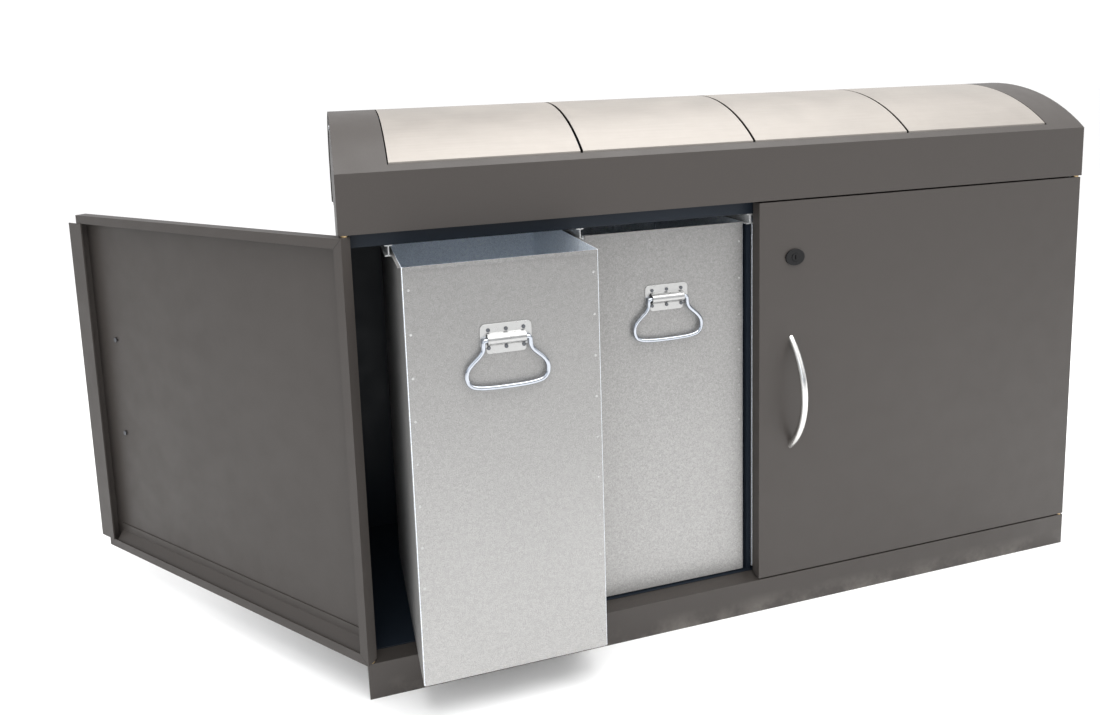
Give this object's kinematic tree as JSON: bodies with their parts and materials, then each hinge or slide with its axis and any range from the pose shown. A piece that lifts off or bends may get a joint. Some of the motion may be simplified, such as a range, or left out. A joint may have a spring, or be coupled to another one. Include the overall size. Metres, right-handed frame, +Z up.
{
  "type": "recycling bin station",
  "caption": "Sheet steel waste sorting cabinet with a barrel hood, curved push-in inlet flaps, folded hinged doors and galvanised pull-out bins with drop handles.",
  "frame": {"origin": "on the floor under the middle of the plinth", "axes": "+X along the cabinet to the viewer's right, +Y to the back, +Z up; the doors face -Y"},
  "size_m": [1.9058, 0.5864, 0.935],
  "materials": {
    "cabinet_paint": "satin powder coat, warm dark grey",
    "stainless_steel": "fine matt stainless",
    "galvanised_steel": "galvanised sheet, fine spangle",
    "bright_zinc": "bright zinc plated",
    "bush_bronze": "sintered bronze",
    "black_plastic": "black"
  },
  "bodies": {
    "cabinet": {"plinth": "cabinet_paint", "floor_plate": "cabinet_paint", "side_panel_left": "cabinet_paint", "side_panel_right": "cabinet_paint", "back_panel": "cabinet_paint", "centre_post": "cabinet_paint", "post_bolt": "bright_zinc", "top_rail_front": "cabinet_paint", "top_rail_rear": "cabinet_paint", "hanging_rails": "galvanised_steel", "hood_shell": "cabinet_paint", "hood_end_left": "cabinet_paint", "hood_end_right": "cabinet_paint", "hood_screws": "bright_zinc", "inlet_dividers": "cabinet_paint", "lid_rod": "bright_zinc", "lid_springs": "bright_zinc", "hinge_bushes": "bush_bronze"},
    "left_door": {"left_door_pan": "cabinet_paint", "left_door_strip": "cabinet_paint", "left_door_stiffener": "cabinet_paint", "left_door_handle": "stainless_steel", "left_handle_screws": "bright_zinc", "left_hinge_pins": "bright_zinc"},
    "right_door": {"right_door_pan": "cabinet_paint", "right_door_stiffener": "cabinet_paint", "right_door_handle": "stainless_steel", "right_handle_screws": "bright_zinc", "right_hinge_pins": "bright_zinc", "lock_case": "galvanised_steel", "lock_rosette": "black_plastic"},
    "lock": {"lock_barrel": "black_plastic"},
    "upper_bolt": {"upper_lock_rod": "galvanised_steel"},
    "lower_bolt": {"lower_lock_rod": "galvanised_steel"},
    "flap_1": {"lid_1": "stainless_steel"},
    "bin_1": {"bin_1_shell": "galvanised_steel", "bin_1_grip_plate": "bright_zinc", "bin_1_rivets": "bright_zinc"},
    "bin_1_grip": {"bin_1_bail": "bright_zinc"},
    "flap_2": {"lid_2": "stainless_steel"},
    "bin_2": {"bin_2_shell": "galvanised_steel", "bin_2_grip_plate": "bright_zinc", "bin_2_rivets": "bright_zinc"},
    "bin_2_grip": {"bin_2_bail": "bright_zinc"},
    "flap_3": {"lid_3": "stainless_steel"},
    "bin_3": {"bin_3_shell": "galvanised_steel", "bin_3_grip_plate": "bright_zinc", "bin_3_rivets": "bright_zinc"},
    "bin_3_grip": {"bin_3_bail": "bright_zinc"},
    "flap_4": {"lid_4": "stainless_steel"},
    "bin_4": {"bin_4_shell": "galvanised_steel", "bin_4_grip_plate": "bright_zinc", "bin_4_rivets": "bright_zinc"},
    "bin_4_grip": {"bin_4_bail": "bright_zinc"}
  },
  "joints": [
    {"name": "left_door_hinge", "type": "hinge", "parent": "cabinet", "child": "left_door", "pos_m": [-0.691, -0.199, 0.4], "axis": [0, 0, -1], "range_deg": [-225, 0]},
    {"name": "right_door_hinge", "type": "hinge", "parent": "cabinet", "child": "right_door", "pos_m": [0.691, -0.199, 0.4], "axis": [0, 0, 1], "range_deg": [0, 225]},
    {"name": "lock_turn", "type": "hinge", "parent": "right_door", "child": "lock", "pos_m": [0.071, -0.2, 0.652], "axis": [0, 1, 0], "range_deg": [0, 90]},
    {"name": "upper_bolt_slide", "type": "slide", "parent": "right_door", "child": "upper_bolt", "axis": [0, 0, 1], "range_m": [0, 0.01]},
    {"name": "lower_bolt_slide", "type": "slide", "parent": "right_door", "child": "lower_bolt", "axis": [0, 0, -1], "range_m": [0, 0.01]},
    {"name": "flap_1_hinge", "type": "hinge", "parent": "cabinet", "child": "flap_1", "pos_m": [-0.46594, 0.06, 0.92047], "axis": [1, 0, 0], "range_deg": [0, 28], "stiffness_Nm_per_rad": 2, "springref_deg": -57.3},
    {"name": "bin_1_slide", "type": "slide", "parent": "cabinet", "child": "bin_1", "axis": [0, -1, 0], "range_m": [-0.1075, 0]},
    {"name": "bin_1_bail_hinge", "type": "hinge", "parent": "bin_1", "child": "bin_1_grip", "pos_m": [-0.469, -0.2863, 0.5965], "axis": [-1, 0, 0], "range_deg": [0, 95]},
    {"name": "flap_2_hinge", "type": "hinge", "parent": "cabinet", "child": "flap_2", "pos_m": [-0.15531, 0.06, 0.92047], "axis": [1, 0, 0], "range_deg": [0, 28], "stiffness_Nm_per_rad": 2, "springref_deg": -57.3},
    {"name": "bin_2_slide", "type": "slide", "parent": "cabinet", "child": "bin_2", "axis": [0, -1, 0], "range_m": [0, 0.3]},
    {"name": "bin_2_bail_hinge", "type": "hinge", "parent": "bin_2", "child": "bin_2_grip", "pos_m": [-0.157, -0.1788, 0.5965], "axis": [-1, 0, 0], "range_deg": [0, 95]},
    {"name": "flap_3_hinge", "type": "hinge", "parent": "cabinet", "child": "flap_3", "pos_m": [0.15531, 0.06, 0.92047], "axis": [1, 0, 0], "range_deg": [0, 28], "stiffness_Nm_per_rad": 2, "springref_deg": -57.3},
    {"name": "bin_3_slide", "type": "slide", "parent": "cabinet", "child": "bin_3", "axis": [0, -1, 0], "range_m": [0, 0.1075]},
    {"name": "bin_3_bail_hinge", "type": "hinge", "parent": "bin_3", "child": "bin_3_grip", "pos_m": [0.157, -0.1788, 0.5965], "axis": [-1, 0, 0], "range_deg": [0, 95]},
    {"name": "flap_4_hinge", "type": "hinge", "parent": "cabinet", "child": "flap_4", "pos_m": [0.46594, 0.06, 0.92047], "axis": [1, 0, 0], "range_deg": [0, 28], "stiffness_Nm_per_rad": 2, "springref_deg": -57.3},
    {"name": "bin_4_slide", "type": "slide", "parent": "cabinet", "child": "bin_4", "axis": [0, -1, 0], "range_m": [0, 0.1075]},
    {"name": "bin_4_bail_hinge", "type": "hinge", "parent": "bin_4", "child": "bin_4_grip", "pos_m": [0.469, -0.1788, 0.5965], "axis": [-1, 0, 0], "range_deg": [0, 95]}
  ],
  "couplings": [
    {"joint": "lock_turn", "follows": "lower_bolt_slide", "rad_per_m": 157.07},
    {"joint": "upper_bolt_slide", "follows": "lower_bolt_slide", "ratio": 1},
    {"joint": "bin_1_slide", "follows": "left_door_hinge", "m_per_rad": 0.02737},
    {"joint": "bin_3_slide", "follows": "right_door_hinge", "m_per_rad": 0.02737},
    {"joint": "bin_4_slide", "follows": "right_door_hinge", "m_per_rad": 0.02737},
    {"joint": "bin_3_bail_hinge", "follows": "right_door_hinge", "ratio": 0.42},
    {"joint": "bin_4_bail_hinge", "follows": "right_door_hinge", "ratio": 0.42}
  ]
}
